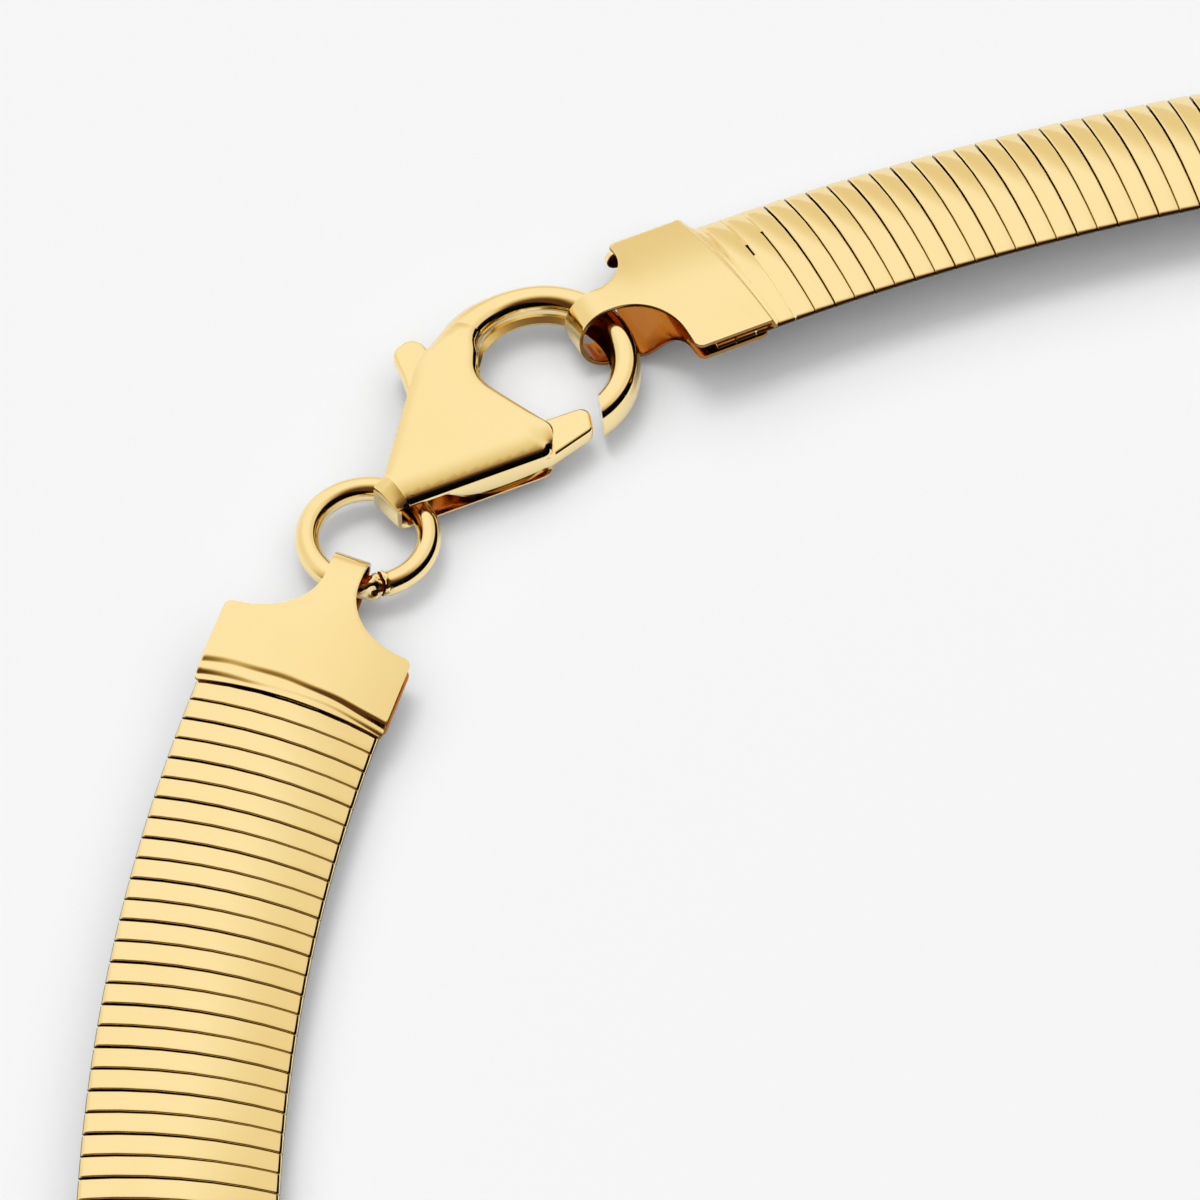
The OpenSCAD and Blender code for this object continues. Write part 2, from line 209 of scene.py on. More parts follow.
def table_material():
    """White paper for the eye and its light, and dark in mirrors where the room behind would stand"""
    material, add = new_material("table_paint")
    spot = add("ShaderNodeTexCoord").outputs["Object"]
    reach = add("ShaderNodeVectorMath", {0: spot}, operation="LENGTH")
    far_way = TURN_BACK.to_3x3() @ Vector((0, 1, 0))
    far = add("ShaderNodeVectorMath", {0: spot, 1: far_way}, operation="DOT_PRODUCT")
    near = add("ShaderNodeMapRange",
               {"Value": far.outputs["Value"], 1: CAMERA_SIDE_FROM, 2: CAMERA_SIDE_TO, 3: 0, 4: 1})
    away = add("ShaderNodeMapRange",
               {"Value": reach.outputs["Value"], 1: DARK_FROM, 2: DARK_TO, 3: DARK_LEAST, 4: 1},
               interpolation_type="SMOOTHSTEP")
    dimmed = add("ShaderNodeMath", {0: away.outputs[0], 1: near.outputs[0]}, operation="MULTIPLY")
    in_mirrors = add("ShaderNodeMath",
                     {0: dimmed.outputs[0], 1: add("ShaderNodeLightPath").outputs["Is Glossy Ray"]},
                     operation="MULTIPLY")
    paper = add("ShaderNodeBsdfDiffuse", {"Color": (0.9, 0.9, 0.9, 1)})
    dark = add("ShaderNodeEmission", {"Color": (0.05, 0.03, 0.015, 1)})
    mixed = add("ShaderNodeMixShader", {0: in_mirrors.outputs[0], 1: paper.outputs[0], 2: dark.outputs[0]})
    add("ShaderNodeOutputMaterial", {0: mixed.outputs[0]})
    return material


table_mesh = bpy.data.meshes.new("table")
corners = [(x * TABLE_HALF, y * TABLE_HALF, 0) for x, y in ((-1, -1), (1, -1), (1, 1), (-1, 1))]
table_mesh.from_pydata(corners, [], [(0, 1, 2, 3)])
table = bpy.data.objects.new("table", table_mesh)
bpy.context.scene.collection.objects.link(table)
table.location.z = -TABLE_DROP
table_mesh.materials.append(table_material())

# The chain: a flat core of woven mesh with 422 domed gold plates pressed around it between its end caps.
# It lies as one closed loop of five tangent bends, and leans beside the clasp, which props up its ends.
BAND_W, BAND_SIDE, BAND_CROWN = 8.0, 0.32, 0.89
RIGHT_LEAN, LEFT_LEAN = -14, 7
RIGHT_RISE, LEFT_RISE = 1.2, 1.49
LEAN_HOLD, LEAN_FADE = 35, 100
# the loop runs clockwise from the right cap to the left one; its places are x + y * 1j, and headings
# are in degrees from +X
RIGHT_START, RIGHT_HEADING, RIGHT_R, RIGHT_TURN = 8.71 + 17.424j, 23.16, 116.9, 22
LEFT_END, LEFT_HEADING, LEFT_R, LEFT_TURN = -13.54 - 8.49j, -285.55, 85.3, 30
SIDE_R, BACK_R = 76, 62
WANTED_PITCH = 0.978


def inward(heading):
    """The direction from the chain to its bend's centre"""
    return cmath.rect(1, math.radians(heading - 90))


def tangent_bends():
    """Centre, radius, heading where it starts and turn of the five bends, each tangent to the next"""
    right_h, left_h = RIGHT_HEADING - RIGHT_TURN, LEFT_HEADING + LEFT_TURN
    right_c = RIGHT_START + RIGHT_R * inward(RIGHT_HEADING)
    left_c = LEFT_END + LEFT_R * inward(LEFT_HEADING)
    side_1 = right_c - (RIGHT_R - SIDE_R) * inward(right_h)
    side_2 = left_c - (LEFT_R - SIDE_R) * inward(left_h)
    gap = side_2 - side_1
    off = math.sqrt((SIDE_R - BACK_R) ** 2 - (abs(gap) / 2) ** 2)
    back_c = (side_1 + side_2) / 2 + off * inward(math.degrees(cmath.phase(gap)))
    back_1, back_2 = (math.degrees(cmath.phase(back_c - side)) - 90 for side in (side_1, side_2))
    turns = [(a - b) % 360 for a, b in ((right_h, back_1), (back_1, back_2), (back_2, left_h))]
    return [
        (right_c, RIGHT_R, RIGHT_HEADING, RIGHT_TURN),
        (side_1, SIDE_R, right_h, turns[0]),
        (back_c, BACK_R, right_h - turns[0], turns[1]),
        (side_2, SIDE_R, right_h - turns[0] - turns[1], turns[2]),
        (left_c, LEFT_R, left_h, LEFT_TURN),
    ]


BENDS = tangent_bends()
LOOP_LEN = sum(r * math.radians(turn) for _, r, _, turn in BENDS)
PLATES = round(LOOP_LEN / WANTED_PITCH)
PITCH = LOOP_LEN / PLATES
MIDDLE_PLATE = PLATES // 2


def pose(s):
    """Place and heading at a length s along the loop"""
    for i, (centre, r, start, turn) in enumerate(BENDS):
        length = r * math.radians(turn)
        if s <= length or i == len(BENDS) - 1:
            heading = start - math.degrees(s / r)
            place = centre - r * inward(heading)
            return place.real, place.imag, math.radians(heading)
        s -= length


def smooth(x):
    """An S-shaped rise from 0 to 1"""
    x = min(1, max(0, x))
    return x * x * (3 - 2 * x)


def end_shares(s):
    """How much of the right end's and of the left end's lean and rise holds at s"""
    return 1 - smooth((s - LEAN_HOLD) / LEAN_FADE), 1 - smooth((LOOP_LEN - s - LEAN_HOLD) / LEAN_FADE)


def on_loop(s):
    """The frame at s: x along the chain, y to its outer side, z up from its underside"""
    x, y, heading = pose(s)
    right, left = end_shares(s)
    lean = math.radians(RIGHT_LEAN * right + LEFT_LEAN * left)
    rise = RIGHT_RISE * right + LEFT_RISE * left + BAND_W / 2 * abs(math.sin(lean))
    laid = IN_ROW @ Matrix.Translation((x, y, rise)) @ Matrix.Rotation(heading, 4, "Z")
    return laid @ Matrix.Rotation(lean, 4, "X")


def finish_mesh(name, bm, materials, place=None, sharp=50):
    """A mesh object in metres from a mesh in millimetres, smooth but for edges over an angle"""
    if place is not None:
        bmesh.ops.transform(bm, matrix=place, verts=bm.verts)
    bmesh.ops.scale(bm, vec=(MM, MM, MM), verts=bm.verts)
    mesh = bpy.data.meshes.new(name)
    bm.to_mesh(mesh)
    bm.free()
    for polygon in mesh.polygons:
        polygon.use_smooth = True
    mesh.set_sharp_from_angle(angle=math.radians(sharp))
    for material in materials:
        mesh.materials.append(material)
    obj = bpy.data.objects.new(name, mesh)
    bpy.context.scene.collection.objects.link(obj)
    return obj


def polish_group():
    """Polished gold's small life: a tone that drifts, fine wiping marks and a slight waver"""
    tree = bpy.data.node_groups.new("polish", "ShaderNodeTree")
    face = tree.interface
    for name, kind, value in (
        ("Gold", "NodeSocketColor", (0.99, 0.79, 0.405, 1)),
        ("Deep gold", "NodeSocketColor", (0.95, 0.7, 0.3, 1)),
        ("Drift size", "NodeSocketFloat", 260.0),
        ("Mark size", "NodeSocketFloat", 5200.0),
        ("Waver", "NodeSocketFloat", 0.05),
        ("Roughness", "NodeSocketFloat", 0.07),
    ):
        face.new_socket(name, in_out="INPUT", socket_type=kind).default_value = value
    face.new_socket("Colour", in_out="OUTPUT", socket_type="NodeSocketColor")
    face.new_socket("Roughness", in_out="OUTPUT", socket_type="NodeSocketFloat")
    face.new_socket("Normal", in_out="OUTPUT", socket_type="NodeSocketVector")
    add = adder(tree)
    given = add("NodeGroupInput").outputs
    place = add("ShaderNodeTexCoord").outputs["Object"]
    drift = add("ShaderNodeTexNoise", {"Vector": place, "Scale": given["Drift size"], "Detail": 2.0})
    tone = add("ShaderNodeMapRange", {"Value": drift.outputs[0], 1: 0.35, 2: 0.75, 3: 0.0, 4: 0.35})
    colour = add("ShaderNodeMix", {0: tone.outputs[0], 6: given["Gold"], 7: given["Deep gold"]},
                 data_type="RGBA")
    drawn = add("ShaderNodeMapping", {0: place, 2: (0.3, 0.2, 0.7), 3: (1.0, 0.06, 1.0)})
    marks = add("ShaderNodeTexNoise",
                {"Vector": drawn.outputs[0], "Scale": given["Mark size"], "Detail": 3.0})
    rough = add("ShaderNodeMath", {0: marks.outputs[0], 1: 0.05, 2: given["Roughness"]},
                operation="MULTIPLY_ADD")
    waver = add("ShaderNodeTexNoise", {"Vector": place, "Scale": 420.0, "Detail": 1.0})
    bump = add("ShaderNodeBump",
               {"Strength": given["Waver"], "Distance": 0.0002, "Height": waver.outputs[0]})
    add("NodeGroupOutput", {0: colour.outputs[2], 1: rough.outputs[0], 2: bump.outputs[0]})
    return tree


polish = polish_group()


def gold_material(name, **values):
    """Polished gold with its own values of the polish group"""
    material, add = new_material(name)
    group = add("ShaderNodeGroup", node_tree=polish)
    for key, value in values.items():
        group.inputs[key.replace("_", " ").capitalize()].default_value = value
    # the shadows are neutral, so the table takes no gold tint from the metal
    seen_by_table = add("ShaderNodeLightPath").outputs["Is Diffuse Ray"]
    base = add("ShaderNodeMix", {0: seen_by_table, 6: group.outputs["Colour"], 7: (0.7, 0.7, 0.7, 1)},
               data_type="RGBA")
    shader = add("ShaderNodeBsdfPrincipled", {
        "Base Color": base.outputs[2],
        "Metallic": 1.0,
        "Roughness": group.outputs["Roughness"],
        "Normal": group.outputs["Normal"],
    })
    add("ShaderNodeOutputMaterial", {0: shader.outputs[0]})
    return material


plate_gold = gold_material("plate_gold", waver=0.02, drift_size=140.0)
# the plates' cut walls and sides take a near-black gold: painted shade, standing for the dark gaps between
# the plates and the band's shaded sides
wall_painted_shade = gold_material("plate_wall_gold", gold=(0.05, 0.025, 0.01, 1),
                          deep_gold=(0.015, 0.006, 0.002, 1), roughness=0.2)

# a plate's rolled long edges: place along the plate as a share of its length, and drop
PLATE_ROLL = [(0.5, 0.05), (0.475, 0.014), (0.43, 0.0)]
# from a plate's middle to its side: place across it, and drop below the arch
PLATE_ACROSS = [(0, 0), (1.3, 0), (2.6, 0), (3.5, 0), (3.82, 0), (3.91, 0.016), (3.97, 0.06), (4.0, 0.13)]
SIDE_IN = 0.16
LIP_W, LIP_H = 0.7, 0.07
# faces count as walls that point across or along the chain by more than this
WALL_ACROSS, WALL_ALONG = 0.72, 0.9
PLATE_SHARP = 75


def crown(y):
    """Height of the arched plates at y from the middle"""
    rise = BAND_CROWN - BAND_SIDE
    r = (BAND_W ** 2 / 4 + rise ** 2) / (2 * rise)
    return BAND_CROWN - r + math.sqrt(r * r - y * y)


def plate_profile():
    """The plate's cross-section: over the crown from side to side, then its underside with a lip at each"""
    arch = [(y, crown(y) - drop) for y, drop in PLATE_ACROSS]
    over = [(-y, z) for y, z in reversed(arch[1:])] + arch
    half = BAND_W / 2
    foot = half - SIDE_IN
    lip = half - LIP_W
    return over, [(foot, 0), (lip, 0), (lip, LIP_H), (-lip, LIP_H), (-lip, 0), (-foot, 0)]


def loft(bm, rows):
    """Faces from each row of vertices, which goes once round a bar, to the next"""
    for a, b in zip(rows, rows[1:]):
        for i in range(len(a)):
            j = (i + 1) % len(a)
            bm.faces.new((a[i], a[j], b[j], b[i]))


def make_bar(bm, rows):
    """A closed bar from its rows of vertices; gives back its two end faces"""
    loft(bm, rows)
    return [bm.faces.new(rows[0][::-1]), bm.faces.new(rows[-1])]


def make_plate():
    """One plate of length 1, which the node tree scales to its real length"""
    bm = bmesh.new()
    over, under = plate_profile()
    columns = [(-x, d) for x, d in PLATE_ROLL] + [(x, d) for x, d in reversed(PLATE_ROLL)]
    rows = [[bm.verts.new((x, y, z - drop)) for y, z in over] + [bm.verts.new((x, y, z)) for y, z in under]
            for x, drop in columns]
    make_bar(bm, rows)
    bmesh.ops.recalc_face_normals(bm, faces=bm.faces)
    mesh = bpy.data.meshes.new("plate")
    bm.to_mesh(mesh)
    bm.free()
    # wall faces are marked here, and the node tree gives them the near-black material: painted shade
    wall = mesh.attributes.new("wall", "BOOLEAN", "FACE")
    for polygon in mesh.polygons:
        polygon.use_smooth = True
        across, along = abs(polygon.normal.y), abs(polygon.normal.x)
        wall.data[polygon.index].value = across > WALL_ACROSS or along > WALL_ALONG
    mesh.set_sharp_from_angle(angle=math.radians(PLATE_SHARP))
    return mesh


plate = bpy.data.objects.new("plate", make_plate())
bpy.context.scene.collection.objects.link(plate)


def plate_tree():
    """Sets one plate on each station, and makes its gaps wide and narrow by turns"""
    tree = bpy.data.node_groups.new("plates_on_chain", "GeometryNodeTree")
    face = tree.interface
    face.new_socket("Stations", in_out="INPUT", socket_type="NodeSocketGeometry")
    for name, kind in (
        ("Plate", "Object"), ("Pitch", "Float"), ("Wide gap", "Float"), ("Narrow gap", "Float"),
        ("Gold", "Material"), ("Wall", "Material"),
    ):
        face.new_socket(name, in_out="INPUT", socket_type="NodeSocket" + kind)
    face.new_socket("Plates", in_out="OUTPUT", socket_type="NodeSocketGeometry")
    add = adder(tree)
    given = add("NodeGroupInput").outputs
    turn = add("GeometryNodeInputNamedAttribute", {0: "turn"}, data_type="FLOAT_VECTOR").outputs[0]
    side = add("GeometryNodeInputNamedAttribute", {0: "gap_side"}, data_type="FLOAT").outputs[0]

    def calc(kind, a, b):
        return add("ShaderNodeMath", {0: a, 1: b}, operation=kind).outputs[0]

    gaps = calc("MULTIPLY", calc("ADD", given["Wide gap"], given["Narrow gap"]), 0.5)
    length = calc("SUBTRACT", given["Pitch"], gaps)
    uneven = calc("SUBTRACT", given["Wide gap"], given["Narrow gap"])
    # each plate moves a quarter of the difference, and its neighbour as much the other way
    shift = calc("MULTIPLY", calc("MULTIPLY", uneven, 0.25), side)
    along = add("ShaderNodeCombineXYZ", {0: shift})
    size = add("ShaderNodeCombineXYZ", {0: length, 1: MM, 2: MM})
    object_info = add("GeometryNodeObjectInfo", {"Object": given["Plate"]})
    placed = add("GeometryNodeInstanceOnPoints", {
        "Points": given["Stations"],
        "Instance": object_info.outputs["Geometry"],
        "Rotation": turn,
    })
    moved = add("GeometryNodeTranslateInstances", {
        "Instances": placed.outputs[0],
        "Translation": along.outputs[0],
        "Local Space": True,
    })
    sized = add("GeometryNodeScaleInstances", {"Instances": moved.outputs[0], "Scale": size.outputs[0]})
    real = add("GeometryNodeRealizeInstances", {0: sized.outputs[0]})
    gilt = add("GeometryNodeSetMaterial", {0: real.outputs[0], "Material": given["Gold"]})
    # the wall faces get the near-black wall material: painted shade
    wall = add("GeometryNodeInputNamedAttribute", {0: "wall"}, data_type="BOOLEAN").outputs[0]
    walled = add("GeometryNodeSetMaterial",
                 {0: gilt.outputs[0], "Selection": wall, "Material": given["Wall"]})
    add("NodeGroupOutput", {0: walled.outputs[0]})
    return tree


plates_on_chain = plate_tree()
WIDE_GAP, NARROW_GAP = 0.075, 0.055


def settle(obj, name):
    """The evaluated object as a plain mesh object, in place of the one with the modifier"""
    bpy.context.view_layer.update()
    evaluated = obj.evaluated_get(bpy.context.evaluated_depsgraph_get())
    mesh = bpy.data.meshes.new_from_object(evaluated)
    plain = bpy.data.objects.new(name, mesh)
    bpy.context.scene.collection.objects.link(plain)
    bpy.data.objects.remove(obj)
    return plain


def lay_plates(name, first, last, body, node):
    """Plates first to last of the chain as one piece"""
    mesh = bpy.data.meshes.new(name)
    frames = [on_loop((i + 0.5) * PITCH) for i in range(first, last + 1)]
    mesh.from_pydata([f.translation * MM for f in frames], [], [])
    mesh.attributes.new("turn", "FLOAT_VECTOR", "POINT")
    mesh.attributes.new("gap_side", "FLOAT", "POINT")
    # both are there before either is fetched, because a new one moves the others' data
    turn, side = mesh.attributes["turn"].data, mesh.attributes["gap_side"].data
    for k, f in enumerate(frames):
        turn[k].vector = f.to_euler()
        side[k].value = 1 if (first + k) % 2 == 0 else -1
    obj = bpy.data.objects.new(name + "_stations", mesh)
    bpy.context.scene.collection.objects.link(obj)
    modifier = obj.modifiers.new("plates", "NODES")
    modifier.node_group = plates_on_chain
    values = {
        "Plate": plate, "Pitch": PITCH * MM, "Wide gap": WIDE_GAP * MM, "Narrow gap": NARROW_GAP * MM,
        "Gold": plate_gold, "Wall": wall_painted_shade,
    }
    for item in plates_on_chain.interface.items_tree:
        if item.in_out == "INPUT" and item.name in values:
            modifier[item.identifier] = values[item.name]
    piece = settle(obj, name)
    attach(piece, body)
    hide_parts(node)


# the chain's last plates go on into the end caps
PLATES_IN_RIGHT_CAP, PLATES_IN_LEFT_CAP = 6, 5
lay_plates("plates_right", -PLATES_IN_RIGHT_CAP, MIDDLE_PLATE - 1, "necklace", "band_right")
lay_plates("plates_left", MIDDLE_PLATE, PLATES + PLATES_IN_LEFT_CAP - 1, "necklace", "band_left")
bpy.data.objects.remove(plate)

# The woven core inside the plates: a ribbon of fine mesh, coloured near-black as painted shade where it
# shows through the gaps.
# It runs from inside one end cap to inside the other.
CORE_ACROSS = [-3.72, -3.6, -2.4, -1.2, 0, 1.2, 2.4, 3.6, 3.72]
CORE_DEEP, CORE_FOOT = 0.3, 0.075
# painted shade: the core's near-black colour stands for the shade deep in the gaps
core_gold = gold_material("core_gold", gold=(0.05, 0.025, 0.01, 1), deep_gold=(0.02, 0.01, 0.004, 1),
                          roughness=0.45)


def lay_core(name, start, end):
    """A flat ribbon with an arched top, a little below the plates' backs"""
    bm = bmesh.new()
    count = round((end - start) / PITCH) + 1
    rows = []
    for k in range(count + 1):
        f = on_loop(start + (end - start) * k / count)
        top = [f @ Vector((0, y, max(crown(y) - CORE_DEEP, CORE_FOOT))) for y in CORE_ACROSS]
        foot = [f @ Vector((0, y, CORE_FOOT)) for y in reversed(CORE_ACROSS)]
        rows.append([bm.verts.new(v) for v in top + foot])
    make_bar(bm, rows)
    bmesh.ops.recalc_face_normals(bm, faces=bm.faces)
    return finish_mesh(name, bm, [core_gold])


RIGHT_CAP_S, LEFT_CAP_S = -3.6 * PITCH, LOOP_LEN + 3.2 * PITCH
RIGHT_TONGUE, LEFT_TONGUE = 2.4, 1.9
core = lay_core("chain_core", RIGHT_CAP_S - RIGHT_TONGUE, LEFT_CAP_S + LEFT_TONGUE)
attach(core, "necklace")

# Solder: gold that ran into the first gaps beside the right cap when the cap was fixed. It lies just
# under the plates' tops and leaves only parts of the gaps open.
# each row: the gap's number along the chain, and where the solder starts and stops across it
SOLDERED = [(-4, -3.93, 3.93), (-3, -3.93, 3.93), (-2, -3.93, 0.2), (-2, 1.1, 3.93), (-1, 1.7, 3.93)]
SOLDER_W, SOLDER_SINK, SOLDER_FOOT, SOLDER_STEPS = 0.13, 0.012, 0.1, 16


def make_solder():
    """A thin bar for each filled stretch of a gap"""
    bm = bmesh.new()
    half = SOLDER_W / 2
    for gap, start, stop in SOLDERED:
        f = on_loop(gap * PITCH)
        rows = []
        for k in range(SOLDER_STEPS + 1):
            y = start + (stop - start) * k / SOLDER_STEPS
            top = crown(y) - SOLDER_SINK
            corners = ((-half, top), (half, top), (half, SOLDER_FOOT), (-half, SOLDER_FOOT))
            rows.append([bm.verts.new(f @ Vector((x, y, z))) for x, z in corners])
        make_bar(bm, rows)
    bmesh.ops.recalc_face_normals(bm, faces=bm.faces)
    return finish_mesh("solder", bm, [plate_gold])


solder = make_solder()
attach(solder, "necklace")

# The end caps: each is one piece of gold sheet, folded at its neck into a loop and pinched over the
# chain's end. The chain's last plates are soldered in. Inside the fold the sheet takes a dark orange gold:
# painted shade and painted reflection of gold mirroring gold.
CAP_SHEET, CAP_CROWN, CAP_DOME, CAP_EDGE = 0.17, 1.16, 0.35, 0.04
CAP_CORNER = 0.35
LOOP_R, LOOP_A, LOOP_STEPS = 1.5, 5.66, 24
cap_gold = gold_material("cap_gold", waver=0.03, drift_size=180.0)
# painted shade and painted reflection: a dark orange gold for inner sides, cut ends and hollows
inner_gold = gold_material("inner_gold", gold=(0.52, 0.18, 0.022, 1), deep_gold=(0.26, 0.06, 0.008, 1),
                           roughness=0.12)
# painted shade: a dark gold for the caps' cut rims, standing for the dark line under their edges
edge_gold = gold_material("edge_gold", gold=(0.34, 0.19, 0.06, 1), deep_gold=(0.14, 0.07, 0.02, 1),
                          roughness=0.12)


# half a corner's angle from which on it counts as straight
STRAIGHT = 89.5


def rounded(rows, step=8.0):
    """A closed outline from rows of x, y and corner radius"""
    out = []
    n = len(rows)
    for i, (x, y, r) in enumerate(rows):
        p = Vector((x, y))
        a = (Vector(rows[i - 1][:2]) - p).normalized()
        b = (Vector(rows[(i + 1) % n][:2]) - p).normalized()
        half_turn = math.acos(max(-1, min(1, a.dot(b)))) / 2
        if r == 0 or half_turn > math.radians(STRAIGHT):
            out.append(p)
            continue
        c = p + (a + b).normalized() * (r / math.sin(half_turn))
        start = p + a * (r / math.tan(half_turn)) - c
        end = p + b * (r / math.tan(half_turn)) - c
        angle = start.angle_signed(end)
        count = max(1, math.ceil(abs(math.degrees(angle)) / step))
        out += [c + Matrix.Rotation(-angle * k / count, 2) @ start for k in range(count + 1)]
    return out


def spaced(points, gap):
    """The closed outline with points no further apart than gap"""
    out = []
    for a, b in zip(points, points[1:] + points[:1]):
        count = max(1, math.ceil((b - a).length / gap))
        out += [a.lerp(b, k / count) for k in range(count)]
    return out


def inset(points, d):
    """An anticlockwise outline moved inwards"""
    out = []
    n = len(points)
    for i, p in enumerate(points):
        u = (p - points[i - 1]).normalized()
        v = (points[(i + 1) % n] - p).normalized()
        m = Vector((-u.y - v.y, u.x + v.x)).normalized()
        out.append(p + m * (d / max(0.5, m.dot(Vector((-u.y, u.x))))))
    return out


def inside(p, outline):
    """Is a point inside a closed outline?"""
    hit = False
    for a, b in zip(outline, outline[1:] + outline[:1]):
        if (a.y > p.y) != (b.y > p.y) and p.x < (b.x - a.x) * (p.y - a.y) / (b.y - a.y) + a.x:
            hit = not hit
    return hit


def edge_distance(p, segments):
    """Distance from a point to the nearest of some segments"""
    best = 1e9
    for a, b in segments:
        ab = b - a
        t = max(0, min(1, (p - a).dot(ab) / max(ab.length_squared, 1e-12)))
        best = min(best, (a + ab * t - p).length)
    return best


def sides_of(outline):
    """The straight pieces of a closed outline"""
    return list(zip(outline, outline[1:] + outline[:1]))


# a net of even triangles: the step between its rows, and how far it stays off the edge, in meshes
ROW_STEP, EDGE_CLEAR = 0.866, 0.55


def fill_sheet(bm, outline, height, net=0.2, insets=(), flip=False, fine_to=None):
    """One skin inside an outline: loops along its edge, then an even net, at a height that the place gives

    Where x is under fine_to the net has half the mesh. Gives back the outermost loop.
    """
    loops = [outline] + [inset(outline, d) for d in insets]

    def at(p):
        return bm.verts.new((p.x, p.y, height(p.x, p.y)))

    rings = [[at(p) for p in loop] for loop in loops]
    n = len(outline)
    for a, b in zip(rings, rings[1:]):
        for i in range(n):
            j = (i + 1) % n
            quad = (a[i], a[j], b[j], b[i])
            bm.faces.new(quad[::-1] if flip else quad)
    inner = loops[-1]
    walls = sides_of(inner)
    points = list(inner)
    low = Vector((min(q.x for q in inner), min(q.y for q in inner)))
    high = Vector((max(q.x for q in inner), max(q.y for q in inner)))
    split = low.x if fine_to is None else fine_to
    for start, stop, mesh in ((low.x, split, net / 2), (split, high.x, net)):
        for row in range(math.ceil((high.y - low.y) / (mesh * ROW_STEP)) + 1):
            for column in range(math.ceil((stop - start) / mesh)):
                p = Vector((start + (column + row % 2 / 2) * mesh, low.y + row * mesh * ROW_STEP))
                if inside(p, inner) and edge_distance(p, walls) > EDGE_CLEAR * mesh:
                    points.append(p)
    edges = [(i, (i + 1) % n) for i in range(n)]
    verts, _, faces, origins, _, _ = delaunay_2d_cdt(points, edges, [], 1, 1e-7)
    made = []
    for v, origin in zip(verts, origins):
        known = [i for i in origin if i < n]
        made.append(rings[-1][known[0]] if known else at(v))
    for f in faces:
        corners = [made[i] for i in f]
        if len(set(corners)) == 3:
            bm.faces.new(corners[::-1] if flip else corners)
    return rings[0]


def soften_edges(obj, width, angle):
    """Rounds the edges where faces meet at more than an angle"""
    soften = obj.modifiers.new("edges", "BEVEL")
    soften.width = width * MM
    soften.segments = 2
    soften.limit_method = "ANGLE"
    soften.angle_limit = math.radians(angle)


def thicken(obj, sheet, edge, offset=0):
    """Gives a skin its sheet's thickness and softly rounded edges

    The inner side takes the second of the skin's materials, and the cut rim the third.
    """
    thick = obj.modifiers.new("sheet", "SOLIDIFY")
    thick.thickness = sheet * MM
    thick.offset = offset
    thick.material_offset = 1
    thick.material_offset_rim = 2
    soften_edges(obj, edge, 60)
    solid = settle(obj, obj.name)
    for polygon in solid.data.polygons:
        polygon.use_smooth = True
    return solid


def face_away(bm, middle):
    """Turns an open skin's faces away from a place inside its fold"""
    bm.normal_update()
    if sum(f.normal.dot(f.calc_center_median() - middle) * f.calc_area() for f in bm.faces) < 0:
        bmesh.ops.reverse_faces(bm, faces=bm.faces)


def shoulder(row):
    """One side of a cap, from the chain's end along the straight side and round the hollow to the neck"""
    edge, corner, half_w, along, across, length, depth = row
    hollow = [
        (along - length * math.cos(math.radians(t)), across - depth * math.sin(math.radians(t)), 0)
        for t in range(0, 91, 6)
    ]
    straight = [(edge, half_w, corner), (along - length, half_w, CAP_CORNER)]
    return straight + hollow + [(LOOP_A, across - depth, 0)]


def cap_outline(rows):
    """The cap's flat outline, anticlockwise, from the far side round the neck to the near side"""
    far = [(x, -y, r) for x, y, r in shoulder(rows[1])]
    return rounded(far + shoulder(rows[0])[::-1])


# spacing of a cap's outline, its net, and how far from the chain's end the border's net is finer
CAP_POINTS, CAP_NET, BORDER_TO = 0.14, 0.15, 0.4
# the border's edge follows its own curve, which fades into the straight sides from here on
CURVE_FROM, CURVE_LENGTH = 0.6, 1.1


def make_cap(name, top_rows, under_rows, place, top_height, edge, node):
    """The folded sheet: top, loop and underplate as one skin, which then gets its thickness"""
    bm = bmesh.new()
    straight = top_rows[0][0]
    top_outline = [
        Vector((p.x + (edge(p.y) - straight) * smooth((CURVE_FROM - p.x) / CURVE_LENGTH), p.y))
        for p in spaced(cap_outline(top_rows), CAP_POINTS)
    ]
    under_outline = spaced(cap_outline(under_rows), CAP_POINTS)
    necks = []
    for skin in (
        fill_sheet(bm, top_outline, top_height, net=CAP_NET, fine_to=BORDER_TO),
        fill_sheet(bm, under_outline, cap_under, net=CAP_NET, flip=True),
    ):
        necks.append(sorted((v for v in skin if abs(v.co.x - LOOP_A) < 1e-6), key=lambda v: v.co.y))
    top_z, foot_z = top_height(LOOP_A, 0), cap_under(LOOP_A, 0)
    r = (top_z - foot_z) / 2
    rows = [necks[0]]
    for k in range(1, LOOP_STEPS):
        t = math.pi * k / LOOP_STEPS
        share = k / LOOP_STEPS
        rows.append([
            bm.verts.new((LOOP_A + r * math.sin(t), top.co.y * (1 - share) + low.co.y * share,
                          foot_z + r + r * math.cos(t)))
            for top, low in zip(*necks)
        ])
    rows.append(necks[1])
    for a, b in zip(rows, rows[1:]):
        for i in range(len(a) - 1):
            bm.faces.new((a[i], b[i], b[i + 1], a[i + 1]))
    # the sheet's inner side takes painted shade and reflection, its cut rim painted shade
    cap = thicken(finish_mesh(name, bm, [cap_gold, inner_gold, edge_gold], place), CAP_SHEET, CAP_EDGE)
    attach(cap, "necklace")
    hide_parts(node)


